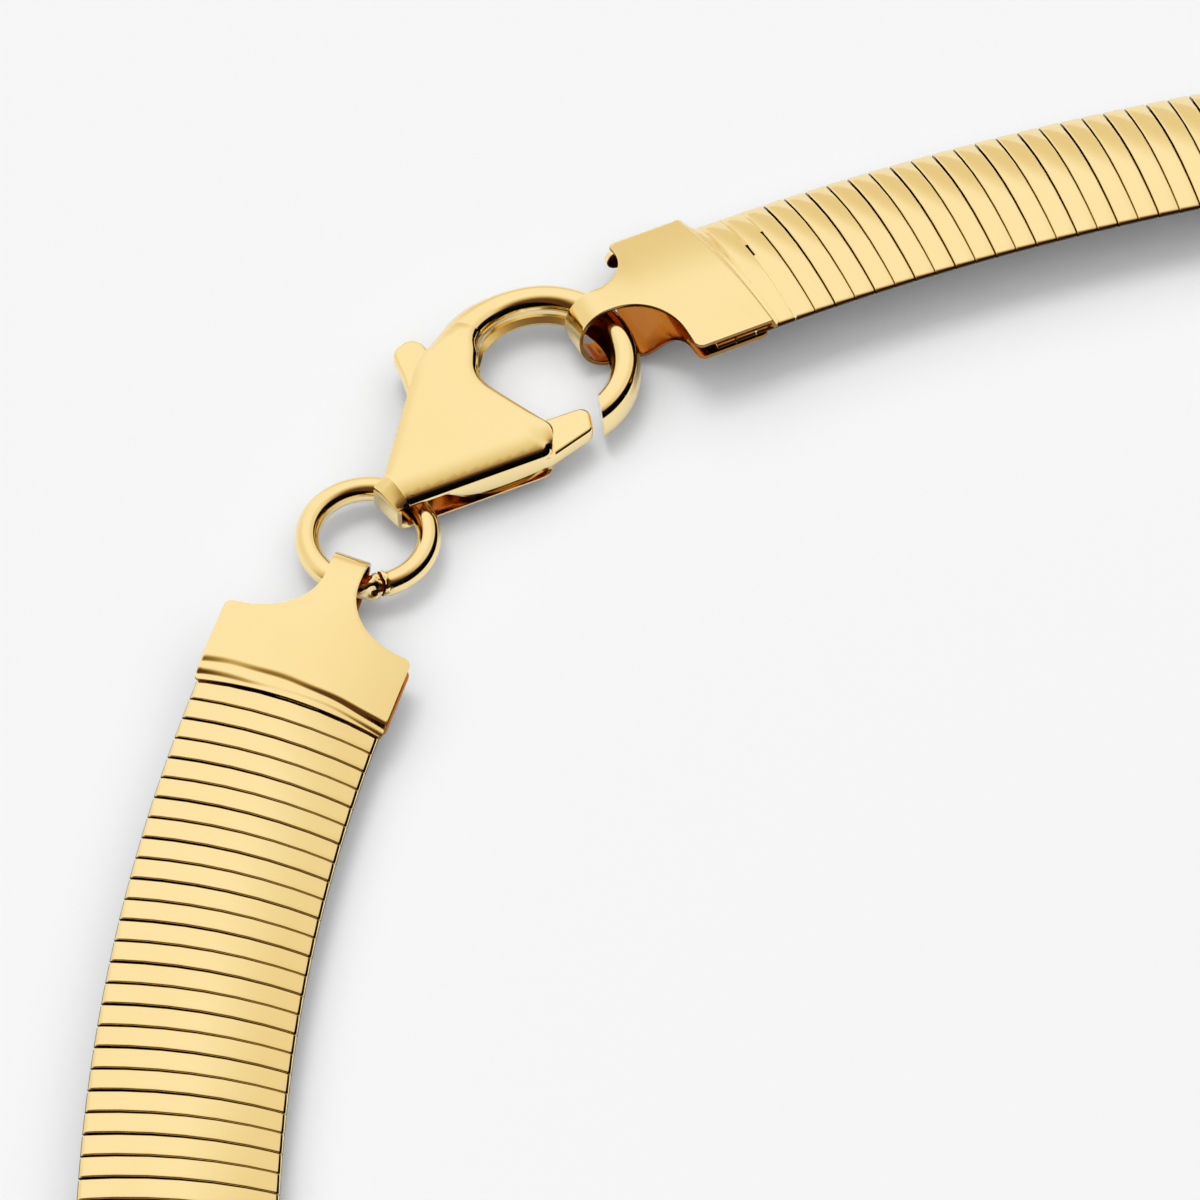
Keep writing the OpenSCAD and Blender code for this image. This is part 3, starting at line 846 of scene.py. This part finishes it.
# a cap's near and far side: band edge and its corner radius, half width, hollow's centre along and
# across, hollow's length and depth
RIGHT_TOP = [(-0.5, 0.35, 4.15, 5.4, 3.0, 2.2, 2.8), (-0.5, 0.75, 4.44, 5.5, 3.87, 1.85, 2.5)]
RIGHT_UNDER = [(-0.3, 0.35, 3.95, 5.4, 3.0, 2.4, 2.8), (0.55, 1.0, 4.08, 5.5, 3.6, 1.5, 2.23)]
LEFT_TOP = [(-1.0, 0.2, 4.12, 5.3, 3.6, 2.6, 2.95), (-1.0, 0.15, 4.1, 5.3, 3.55, 2.65, 2.7)]
LEFT_UNDER = [(-0.5, 0.3, 4.0, 5.3, 3.6, 2.6, 2.95), (-0.7, 0.25, 4.14, 5.3, 3.55, 2.6, 2.7)]
LOOP_FOOT = CAP_CROWN - 2 * LOOP_R
SLOPE_FROM, SLOPE_LENGTH, UNDER_SINK = 2.7, 1.7, 0.02
FLAT_FROM, FLAT_LENGTH = 3.2, 2.4
ROLL_GAP = 0.02
RIGHT_ROLL, RIGHT_ROLL_LEAD, RIGHT_BORDER = 0.15, 0.05, 0.36
# the left border's creases, in shares of its width: how much the first takes, how much less it takes
# at the right, its lead and length, and where the second starts, how it wavers, and its length
FIRST_SHARE, FIRST_LESS, FIRST_LEAD, FIRST_LENGTH = 0.75, 0.3, 0.15, 0.34
SECOND_AT, SECOND_WAVER, SECOND_LENGTH = 0.56, 0.06, 0.26


def right_crest(y):
    """Where the right cap's border starts to roll down onto the chain"""
    return -0.13 - 0.06 * y


def right_edge(y):
    """Where the right cap's border ends"""
    return right_crest(y) - RIGHT_BORDER


def left_crest(y):
    """Where the left cap's border starts to come down: a slack curve with a slight wave"""
    return -0.16 + 0.05 * y - 0.017 * y * y + 0.02 * math.sin(2.6 * y)


def left_edge(y):
    """Where the left cap's border ends, in a slack curve too"""
    return -1.12 - 0.014 * y - 0.008 * y * y


def cap_top(x, y):
    """Height of the middle of a cap's top sheet: arched over the chain, flat at the neck"""
    arch = CAP_DOME * (y / (BAND_W / 2)) ** 2
    return CAP_CROWN - CAP_SHEET / 2 - arch * (1 - smooth((x - FLAT_FROM) / FLAT_LENGTH))


def rolled(x, y, share):
    """Height of a cap's top sheet where a share of its way down to the plates is done"""
    low = crown(max(-BAND_W / 2, min(BAND_W / 2, y))) + ROLL_GAP
    return cap_top(x, y) * (1 - share) + low * share


def right_top_z(x, y):
    """The right cap's border comes down in one short roll"""
    return rolled(x, y, smooth((right_crest(y) - x + RIGHT_ROLL_LEAD) / RIGHT_ROLL))


def left_top_z(x, y):
    """The left cap's border comes down in two creases"""
    t = (left_crest(y) - x) / (left_crest(y) - left_edge(y))
    first = FIRST_SHARE - FIRST_LESS * smooth((y - 0.5) / 2.5)
    second_at = SECOND_AT + SECOND_WAVER * math.sin(1.1 * y)
    second = smooth((t - second_at) / SECOND_LENGTH)
    return rolled(x, y, first * smooth(t / FIRST_LENGTH + FIRST_LEAD) + (1 - first) * second)


def cap_under(x, y):
    """Height of the middle of the underplate, which drops to the loop's foot"""
    drop = LOOP_FOOT + CAP_SHEET + UNDER_SINK
    return -UNDER_SINK - CAP_SHEET / 2 + drop * smooth((x - SLOPE_FROM) / SLOPE_LENGTH)


RIGHT_PLACE = on_loop(RIGHT_CAP_S) @ Matrix.Rotation(math.pi, 4, "Z")
LEFT_PLACE = on_loop(LEFT_CAP_S)
make_cap("cap_right", RIGHT_TOP, RIGHT_UNDER, RIGHT_PLACE, right_top_z, right_edge, "end_cap_right")
make_cap("cap_left", LEFT_TOP, LEFT_UNDER, LEFT_PLACE, left_top_z, left_edge, "end_cap_left")

# The ear: at the right cap's far shoulder the gold sheet is bent down between the top and the
# underplate, as a small rounded fold that narrows towards its outer end.
EAR_A, EAR_FROM_B, EAR_TO_B, EAR_SHEET = 3.5, -4.3, -3.7, 0.1
EAR_BULGE, EAR_BACK, EAR_ROWS, EAR_STEPS = 0.52, 0.12, 8, 36
EAR_UNDER_TOP, EAR_OVER_FOOT, EAR_LEAST, EAR_EDGE = 0.02, 0.04, 0.02, 0.03


def make_ear():
    """Rings that are wide at the cap and close up towards the outer end"""
    bm = bmesh.new()
    rows = []
    for k in range(EAR_ROWS + 1):
        y = EAR_FROM_B + (EAR_TO_B - EAR_FROM_B) * k / EAR_ROWS
        top, low = cap_top(EAR_A, y) - EAR_UNDER_TOP, cap_under(SLOPE_FROM, y) + EAR_OVER_FOOT
        open_by = math.sqrt(1 - (1 - max(EAR_LEAST, k / EAR_ROWS)) ** 4)
        rows.append([
            bm.verts.new((EAR_A + (EAR_BULGE if math.cos(t) > 0 else EAR_BACK) * open_by * math.cos(t), y,
                          (top + low) / 2 + (top - low) / 2 * open_by * math.sin(t)))
            for t in (math.radians(90 - 360 * j / EAR_STEPS) for j in range(EAR_STEPS))
        ])
    loft(bm, rows)
    face_away(bm, Vector((EAR_A, EAR_TO_B, (top + low) / 2)))
    # the fold's inner side takes the dark orange material: painted shade and reflection
    skin = finish_mesh("cap_ear", bm, [cap_gold, inner_gold, cap_gold], RIGHT_PLACE)
    return thicken(skin, EAR_SHEET, EAR_EDGE, -1)


ear = make_ear()
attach(ear, "necklace")

# The jump ring: round wire bent to a ring that joins the clasp's tail to the left cap's loop.
# Its ends were snipped off, so they are pinched and rough, and they don't quite line up.
RING_AT = (-9.86, 2.82, 1.45)
RING_R, WIRE_R, RING_CUT, RING_CUT_HEADING = 2.59, 0.53, 0.13, -78
RING_STEPS, WIRE_STEPS, RING_CROWD = 160, 28, 0.12
# the snips' marks: length at the first end and at the last, depth of the pinch, slant of the cut, how
# far each end is off the ring's level, and the ways round the wire that the pinch and the slant face
PINCH_LONG, CRUSH_LONG, PINCH_DEEP, SNIP_SLANT, END_LIFT = 0.42, 1.0, 0.3, 0.14, 0.06
PINCH_WAY, SNIP_WAY = 0.8, 0.6
# the ends' roughness: depth as a share of the wire's width, waves round the wire, waves along it
ROUGH_WAVES = [(0.06, 3, 9), (0.04, 7, -17)]
clasp_gold = gold_material("clasp_gold", waver=0.03, drift_size=200.0)


def make_ring():
    """Sections of wire round the ring, which crowd towards its ends"""
    bm = bmesh.new()
    cut = math.asin(RING_CUT / 2 / RING_R)
    rows = []
    for k in range(RING_STEPS + 1):
        u = k / RING_STEPS
        t = u - RING_CROWD * math.sin(4 * math.pi * u) / (2 * math.pi)
        a = cut + (2 * math.pi - 2 * cut) * t
        from_end = min(t, 1 - t) * 2 * math.pi * RING_R
        near = 1 - smooth(from_end / (PINCH_LONG if t < 0.5 else CRUSH_LONG))
        lift = END_LIFT * near * (1 if t < 0.5 else -1)
        row = []
        for j in range(WIRE_STEPS):
            b = 2 * math.pi * j / WIRE_STEPS
            rough = sum(deep * near * math.sin(round_it * b + along * from_end)
                        for deep, round_it, along in ROUGH_WAVES)
            r = WIRE_R * (1 - PINCH_DEEP * near * max(0, math.cos(2 * b - PINCH_WAY)) + 2 * rough)
            slant = SNIP_SLANT * math.sin(b + SNIP_WAY) * near / RING_R
            row.append(bm.verts.new((
                (RING_R + r * math.cos(b)) * math.cos(a + slant),
                (RING_R + r * math.cos(b)) * math.sin(a + slant),
                r * math.sin(b) + lift,
            )))
        rows.append(row)
    # the snipped end faces take the dark orange inner material: painted shade
    for face in make_bar(bm, rows):
        face.material_index = 1
    bmesh.ops.recalc_face_normals(bm, faces=bm.faces)
    place = IN_ROW @ Matrix.Translation(RING_AT) @ Matrix.Rotation(math.radians(RING_CUT_HEADING), 4, "Z")
    return finish_mesh("ring_wire", bm, [clasp_gold, inner_gold], place)


ring = make_ring()
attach(ring, "necklace")
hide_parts("jump_ring")

# The lobster clasp's body: two domed shells of sheet that meet in a folded tail round the ring, and a
# hook of oval tube that grows out of them. A pin through both shells carries the lever.
ON_CLASP = IN_ROW @ CLASP_PLACE
CLASP_H, SHELL_H, SHELL_WALL = 2.8, 0.55, 0.2
SHELL_RIM = CLASP_H / 2 - SHELL_H
# how a shell rolls down to its rim, on its near side, on its far side and beside the hook's opening:
# distance, share left at the rim, power; the near side's last stretch, the lip, drops faster
NEAR_ROLL, FAR_ROLL, HOLE_ROLL = (2.0, 0.1, 2.1), (0.9, 0.42, 2.4), (0.45, 0.5, 2.2)
LIP_ROLL, LIP_DROP = 0.3, 0.17
HOOK_C, HOOK_R, ARM_W, ARM_H = Vector((9.93, 1.6)), 3.55, 1.36, 1.98
ARM_FROM, ARM_TO, ARM_STEPS, ARM_SIDES = 134, -92, 96, 40
# the arm's root, by angle round the hook: where it gets higher and wider, and how high and wide
SWELL_TO, ROOT_H = 84, 2.5
ROOT_FROM, ROOT_TO, ROOT_OUT = 68, 128, 0.6
# powers that bulge the arm's oval, across and up
ROUND_ACROSS, ROUND_UP = 0.86, 0.76
GROOVE_H, GROOVE_DEEP, GROOVE_FLOOR = 0.36, 0.3, 0.85
GROOVE_FROM, GROOVE_LONG, GROOVE_LEAST = -70, 30, 0.02
# where the shell's dome passes into the arm, by angle and from how far across the clasp
BLEND_FROM, BLEND_LONG, BLEND_B = 108, 32, 3
ARM_SINK, ARM_SINK_TO = 0.04, 0.3
TAIL_BEND, TAIL_NEAR, TAIL_FAR = 0.5, -0.84, 0.88
# the clasp body's outline from above: place along and across, corner radius
SHELL_ROWS = [
    (TAIL_BEND, TAIL_NEAR, 0), (6.85, -2.62, 0.6), (7.76, -1.7, 0.7), (7.3, 0.3, 5), (6.95, 1.95, 1.5),
    (7.12, 2.7, 1.5), (8.28, 4.0, 1.2), (9.0, 4.38, 0), (8.75, 5.66, 0), (7.1, 5.42, 2.5), (5.3, 4.68, 3),
    (TAIL_BEND, TAIL_FAR, 0),
]
CLASP_POINTS = 0.16
shell_outline = spaced(rounded(SHELL_ROWS), CLASP_POINTS)
# the shell doesn't roll down where it passes into the tail and into the arm
ROLL_FROM_A, ROLL_TO_A = TAIL_BEND + 0.01, 8.72
# the near side ends at a corner, and the hook's opening starts there
NEAR_TO_A, NEAR_FROM_B, HOLE_FROM_A = 7.05, -0.7, 6.86
shell_sides = [
    (a, b) for a, b in sides_of(shell_outline) if max(a.x, b.x) > ROLL_FROM_A and min(a.x, b.x) < ROLL_TO_A
]
near_sides = [(a, b) for a, b in shell_sides if a.y < NEAR_FROM_B and a.x < b.x < NEAR_TO_A]
hole_sides = [
    (a, b) for a, b in shell_sides if b.y > a.y and min(a.x, b.x) > HOLE_FROM_A and (a, b) not in near_sides
]
far_sides = [side for side in shell_sides if side not in near_sides and side not in hole_sides]


def arm_half_height(angle):
    """Half the arm's height, which grows towards its root"""
    return ARM_H / 2 + (ROOT_H - ARM_H) / 2 * (1 - smooth((ARM_FROM - angle) / (ARM_FROM - SWELL_TO)))


def arm_outer(angle):
    """The arm's half width on its outer side, which widens at its root"""
    return ARM_W / 2 + ROOT_OUT * smooth((angle - ROOT_FROM) / (ROOT_TO - ROOT_FROM))


def arm_height(p):
    """Height of the arm's top over a place, and the place's angle round the hook"""
    out = p - HOOK_C
    angle = math.degrees(math.atan2(out.y, out.x))
    angle = angle + 360 if angle < -90 else angle
    off = out.length - HOOK_R
    off = off / arm_outer(angle) if off > 0 else off / (ARM_W / 2)
    oval = max(0, 1 - abs(off) ** (2 / ROUND_ACROSS)) ** (ROUND_UP / 2)
    return arm_half_height(min(angle, ARM_FROM)) * oval, angle


def roll_up(p, sides, distance, share, power):
    """The share of its full rise that the shell has at a distance from some sides"""
    t = min(1, edge_distance(p, sides) / distance)
    return share + (1 - share) * (1 - (1 - t) ** power)


def shell_height(x, y):
    """Height of the shell's outside: it rolls up from its rim and passes into the arm at its end"""
    p = Vector((x, y))
    rolls = ((near_sides, NEAR_ROLL), (far_sides, FAR_ROLL), (hole_sides, HOLE_ROLL))
    roll = min(roll_up(p, sides, *way) for sides, way in rolls)
    lip = max(0, 1 - edge_distance(p, near_sides) / LIP_ROLL)
    own = SHELL_RIM + SHELL_H * roll - LIP_DROP * lip * lip
    if y < BLEND_B:
        return own
    arm, angle = arm_height(p)
    share = smooth((angle - BLEND_FROM) / BLEND_LONG)
    # over the arm itself the shell lies just under it
    return own * share + (arm - ARM_SINK * (1 - smooth(share / ARM_SINK_TO))) * (1 - share)


SHELL_NET, SHELL_LOOPS, INNER_LOOPS, SHELL_SHARP = 0.17, (0.02, 0.06, 0.12, 0.2, 0.3), (0.1,), 40
WALL_LEAST, OVER_RIM = 0.1, 0.02
# faces of the inner side look into the clasp by more than this
INWARD = 0.2


def make_shell(name, side):
    """A domed skin, a wall down to its rim and an inner skin; the under shell is the top one mirrored"""
    bm = bmesh.new()
    hollow = inset(shell_outline, SHELL_WALL)

    def inner_height(x, y):
        top = shell_height(x, y)
        return min(top - WALL_LEAST, max(SHELL_RIM + OVER_RIM, top - SHELL_WALL))

    def rim(outline):
        return [
            bm.verts.new((p.x, p.y, min(SHELL_RIM, shell_height(p.x, p.y) - WALL_LEAST))) for p in outline
        ]

    top_rim = fill_sheet(bm, shell_outline, shell_height, net=SHELL_NET, insets=SHELL_LOOPS)
    inner_rim = fill_sheet(bm, hollow, inner_height, insets=INNER_LOOPS, flip=True)
    loops = [top_rim, rim(shell_outline), rim(hollow), inner_rim]
    n = len(shell_outline)
    for a, b in zip(loops, loops[1:]):
        for i in range(n):
            j = (i + 1) % n
            bm.faces.new((a[i], b[i], b[j], a[j]))
    if side < 0:
        bmesh.ops.scale(bm, vec=(1, 1, -1), verts=bm.verts)
    bmesh.ops.recalc_face_normals(bm, faces=bm.faces)
    # faces that look into the clasp take the dark orange inner material: painted shade and painted
    # reflection
    for face in bm.faces:
        above_rim = max(abs(v.co.z) for v in face.verts) > SHELL_RIM + OVER_RIM / 2
        face.material_index = 1 if above_rim and face.normal.z * side < -INWARD else 0
    return finish_mesh(name, bm, [clasp_gold, inner_gold], ON_CLASP, SHELL_SHARP)


def arm_section(outer, h, groove):
    """The arm's bulged oval, with a groove along its inner side that the gate closes into"""
    inner = math.degrees(math.asin(GROOVE_H / h))
    angles = [-180 + inner + (360 - 2 * inner) * j / (ARM_SIDES - 1) for j in range(ARM_SIDES)]
    w = ARM_W / 2

    def bulged(value, power):
        return math.copysign(abs(value) ** power, value)

    oval = [((outer if abs(b) < 90 else w) * bulged(math.cos(math.radians(b)), ROUND_ACROSS),
             h * bulged(math.sin(math.radians(b)), ROUND_UP)) for b in angles]
    floor = -w + GROOVE_DEEP * groove
    return oval + [(floor, GROOVE_H * GROOVE_FLOOR), (floor, -GROOVE_H * GROOVE_FLOOR)]


# the tip is cut off at a slant that faces the gate, somewhere in the arm's last rows
TIP_AT, TIP_NORMAL, TIP_ROWS, TIP_EDGE = (10.66, -1.13, 0.1), Vector((-0.83, 0.5, -0.05)), 30, 0.06


def make_arm():
    """The oval swept round the hook from its root to its tip"""
    bm = bmesh.new()
    rows = []
    for k in range(ARM_STEPS + 1):
        angle = ARM_FROM + (ARM_TO - ARM_FROM) * k / ARM_STEPS
        groove = smooth((angle - GROOVE_FROM) / GROOVE_LONG) + GROOVE_LEAST
        section = arm_section(arm_outer(angle), arm_half_height(angle), groove)
        a = math.radians(angle)
        rows.append([
            bm.verts.new((HOOK_C.x + (HOOK_R + x) * math.cos(a), HOOK_C.y + (HOOK_R + x) * math.sin(a), z))
            for x, z in section
        ])
    make_bar(bm, rows)
    bmesh.ops.recalc_face_normals(bm, faces=bm.faces)
    tip = [v for row in rows[-TIP_ROWS:] for v in row]
    near = set(tip)
    edges = [e for e in bm.edges if e.verts[0] in near and e.verts[1] in near]
    faces = [f for f in bm.faces if all(v in near for v in f.verts)]
    cut = bmesh.ops.bisect_plane(bm, geom=tip + edges + faces, plane_co=TIP_AT,
                                 plane_no=TIP_NORMAL.normalized(), clear_outer=True)
    bmesh.ops.edgeloop_fill(bm, edges=[e for e in cut["geom_cut"] if isinstance(e, bmesh.types.BMEdge)])
    bmesh.ops.recalc_face_normals(bm, faces=bm.faces)
    arm = finish_mesh("hook_arm", bm, [clasp_gold], ON_CLASP)
    soften_edges(arm, TIP_EDGE, 40)
    return settle(arm, "hook_arm")


TAIL_SHEET, TAIL_EDGE, TAIL_COLUMNS, TAIL_NARROWS, TAIL_MARGIN = 0.24, 0.02, 12, 0.06, 0.01
# the tail's side view: along the clasp, up, and how much of the shells' arch it still has
TAIL_SIDE = [
    (0.5, 0, 1), (0.48, -0.01, 0.97), (0.46, -0.024, 0.95), (-0.03, -0.36, 0.3), (-0.07, -0.4, 0.27),
    (-0.12, -0.5, 0.2), (-0.15, -0.7, 0.05), (-0.15, -1.6, 0), (-0.08, -1.9, 0.1), (0.12, -2.3, 0.5),
    (0.5, -2.8, 1),
]


def make_tail():
    """The strip that folds round the ring from one shell's end to the other's"""
    bm = bmesh.new()
    rows = []
    for x, drop, arch in TAIL_SIDE:
        up = 1 if drop > -CLASP_H / 2 else -1
        row = []
        for j in range(TAIL_COLUMNS + 1):
            y = TAIL_NEAR + (TAIL_FAR - TAIL_NEAR) * j / TAIL_COLUMNS
            on_shell = min(TAIL_FAR - TAIL_MARGIN, max(TAIL_NEAR + TAIL_MARGIN, y))
            sag = CLASP_H / 2 - shell_height(TAIL_BEND + 0.02, on_shell)
            narrowed = y * (1 - TAIL_NARROWS * (1 - arch))
            row.append(bm.verts.new((x, narrowed, CLASP_H / 2 + drop - sag * arch * up)))
        rows.append(row)
    for a, b in zip(rows, rows[1:]):
        for i in range(TAIL_COLUMNS):
            bm.faces.new((a[i], b[i], b[i + 1], a[i + 1]))
    face_away(bm, Vector((1.5, 0, 0)))
    # the fold's inner side takes the dark orange material: painted shade and reflection
    skin = finish_mesh("tail_fold", bm, [clasp_gold, inner_gold, clasp_gold], ON_CLASP)
    return thicken(skin, TAIL_SHEET, TAIL_EDGE, -1)


PIN_R, PIN_SINK = 0.4, 0.15


def make_pin():
    """A plain round pin, whose ends stay just under the shells' outsides"""
    bm = bmesh.new()
    bmesh.ops.create_cone(bm, cap_ends=True, segments=40, radius1=PIN_R, radius2=PIN_R,
                          depth=CLASP_H - 2 * PIN_SINK)
    return finish_mesh("lever_pin", bm, [clasp_gold], ON_CLASP @ Matrix.Translation((*PIVOT, 0)))


shells = [make_shell("shell_top", 1), make_shell("shell_under", -1)]
for piece in shells + [make_arm(), make_tail(), make_pin()]:
    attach(piece, "necklace")
    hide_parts("clasp_body")

# The lever: a bar of gold that turns on the pin between the shells. Its gate closes the hook, a skirt
# hangs from its near side, and its rounded tab stands out for the thumb.
LEVER_H, LEVER_EDGE = 0.85, 0.2
LEVER_LOOPS = (0.02, 0.06, 0.12, 0.18)
# the lever's outline from above: place along and across the clasp, corner radius
LEVER_ROWS = [
    (10.0, -1.34, 0.45), (5.9, -0.1, 1.2), (6.45, 4.3, 1.5), (6.72, 6.5, 0.65), (5.3, 6.4, 0.65),
    (4.85, 5.1, 2), (3.3, 1.6, 1.4), (3.3, -1.22, 0.3), (4.9, -1.66, 2.5), (6.9, -2.52, 1), (9.3, -2.5, 0.4),
]


def make_lever():
    """Two skins with rounded edges, joined by a wall"""
    bm = bmesh.new()
    outline = spaced(rounded(LEVER_ROWS), CLASP_POINTS)
    walls = sides_of(outline)

    def soft(x, y):
        t = min(1, edge_distance(Vector((x, y)), walls) / LEVER_EDGE)
        return LEVER_H / 2 - LEVER_EDGE * (1 - math.sqrt(max(0, 1 - (1 - t) ** 2)))

    fill_sheet(bm, outline, soft, insets=LEVER_LOOPS)
    fill_sheet(bm, outline, lambda x, y: -soft(x, y), insets=LEVER_LOOPS, flip=True)
    bmesh.ops.bridge_loops(bm, edges=[e for e in bm.edges if e.is_boundary])
    bmesh.ops.recalc_face_normals(bm, faces=bm.faces)
    return finish_mesh("lever_bar", bm, [clasp_gold], ON_CLASP)


SKIRT_AT, SKIRT_TURN, SKIRT_SHEET, SKIRT_TOP = (2.9, -1.4), -15.2, 0.26, 0.5
SKIRT_FROM, SKIRT_TO, SKIRT_STEPS = -0.78, 4.4, 40
# the lower edge's arc: its centre along and up, and its radius
ARC_ALONG, ARC_UP, ARC_R = 2.3, 3.36, 4.2
# how far the wall's outer face bellies out, and the shares of its height that it is drawn at
SKIRT_BELLY, SKIRT_DOWN = 0.06, (0, 0.15, 0.35, 0.6, 0.85, 1)


def make_skirt():
    """A thin wall with a bellied outer face, whose lower edge is an arc"""
    bm = bmesh.new()
    rows = []
    for k in range(SKIRT_STEPS + 1):
        x = SKIRT_FROM + (SKIRT_TO - SKIRT_FROM) * k / SKIRT_STEPS
        low = ARC_UP - math.sqrt(ARC_R ** 2 - (x - ARC_ALONG) ** 2)
        wall = [(SKIRT_BELLY * (2 * u - 1) ** 2, SKIRT_TOP + (low - SKIRT_TOP) * u) for u in SKIRT_DOWN]
        back = [(SKIRT_SHEET, low), (SKIRT_SHEET, SKIRT_TOP)]
        rows.append([bm.verts.new((x, y, z)) for y, z in wall + back])
    make_bar(bm, rows)
    bmesh.ops.recalc_face_normals(bm, faces=bm.faces)
    place = ON_CLASP @ Matrix.Translation((*SKIRT_AT, 0)) @ Matrix.Rotation(math.radians(SKIRT_TURN), 4, "Z")
    return finish_mesh("lever_skirt", bm, [clasp_gold], place)


for piece in (make_lever(), make_skirt()):
    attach(piece, "lever")
    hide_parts("clasp_lever")
